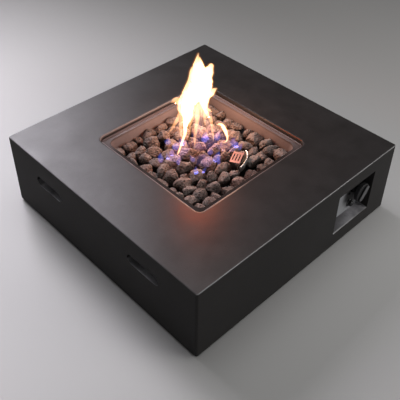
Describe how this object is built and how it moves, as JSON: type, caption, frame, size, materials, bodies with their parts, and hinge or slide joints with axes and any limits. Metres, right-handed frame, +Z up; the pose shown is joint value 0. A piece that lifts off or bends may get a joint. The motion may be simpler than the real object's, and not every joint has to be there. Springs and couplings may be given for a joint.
{
  "type": "gas fire pit table",
  "caption": "Low square cast concrete fire pit table with a drop-in burner pan of lava rock and a recessed panel with a gas knob and a push-button igniter.",
  "frame": {"origin": "middle of the footprint, on the floor under the feet", "axes": "+Z up, -Y towards the front wall with the control recess, +X to the right seen from the front"},
  "size_m": [0.711, 0.711, 0.215],
  "materials": {
    "concrete": "smooth cast, sealed matt",
    "foot_rubber": "moulded, matt",
    "pan_steel": "pressed sheet, heat tinted",
    "lava": "rough, full of small holes",
    "burner_steel": "bent tube, heat tinted",
    "guard_steel": "bright sheet, heat tinted",
    "zinc_steel": "zinc plated",
    "brass": "machined",
    "line_steel": "corrugated flexible tube",
    "ceramic": "unglazed",
    "lead_red": "insulated wire",
    "lead_copper": "thin drawn tube",
    "panel_metal": "satin powder coat",
    "valve_metal": "cast",
    "black_plastic": "fine textured",
    "igniter_metal": "bright plated",
    "battery_wrap": "printed film, plain"
  },
  "bodies": {
    "table": {"table_shell": "concrete", "front_left_foot": "foot_rubber", "front_right_foot": "foot_rubber", "back_left_foot": "foot_rubber", "back_right_foot": "foot_rubber", "burner_pan": "pan_steel", "lava_rocks": "lava", "burner_ring": "burner_steel", "air_mixer": "burner_steel", "electrode_rod": "burner_steel", "thermocouple": "burner_steel", "flame_guard": "guard_steel", "foot_screws": "zinc_steel", "guard_screw": "zinc_steel", "panel_screws": "zinc_steel", "valve_screws": "zinc_steel", "igniter_nut": "zinc_steel", "plunger_spring": "zinc_steel", "igniter_spring": "zinc_steel", "burner_lock_nut": "brass", "burner_elbow": "brass", "gas_orifice": "brass", "flare_nuts": "brass", "thermocouple_nut": "brass", "gas_inlet": "brass", "gas_line": "line_steel", "electrode_insulator": "ceramic", "igniter_lead": "lead_red", "thermocouple_lead": "lead_copper", "control_panel": "panel_metal", "valve_body": "valve_metal", "knob_bezel": "black_plastic", "igniter_housing": "igniter_metal", "battery": "battery_wrap"},
    "valve_plunger": {"valve_plunger": "brass"},
    "knob": {"control_knob": "black_plastic", "valve_stem": "zinc_steel"},
    "igniter_button": {"igniter_button": "black_plastic"},
    "air_shutter": {"air_shutter": "zinc_steel"}
  },
  "joints": [
    {"name": "knob_push", "type": "slide", "parent": "table", "child": "valve_plunger", "axis": [0, 1, 0], "range_m": [0, 0.004], "stiffness_N_per_m": 2000, "deforming": ["plunger_spring"]},
    {"name": "knob_turn", "type": "hinge", "parent": "valve_plunger", "child": "knob", "pos_m": [0.237, -0.34, 0.12], "axis": [0, -1, 0], "range_deg": [-145, 65]},
    {"name": "igniter_press", "type": "slide", "parent": "table", "child": "igniter_button", "axis": [0, 1, 0], "range_m": [0, 0.004], "stiffness_N_per_m": 1500, "deforming": ["igniter_spring"]},
    {"name": "air_shutter_turn", "type": "hinge", "parent": "table", "child": "air_shutter", "pos_m": [0, -0.066, 0.0858], "axis": [0, 1, 0], "range_deg": [0, 45]}
  ]
}
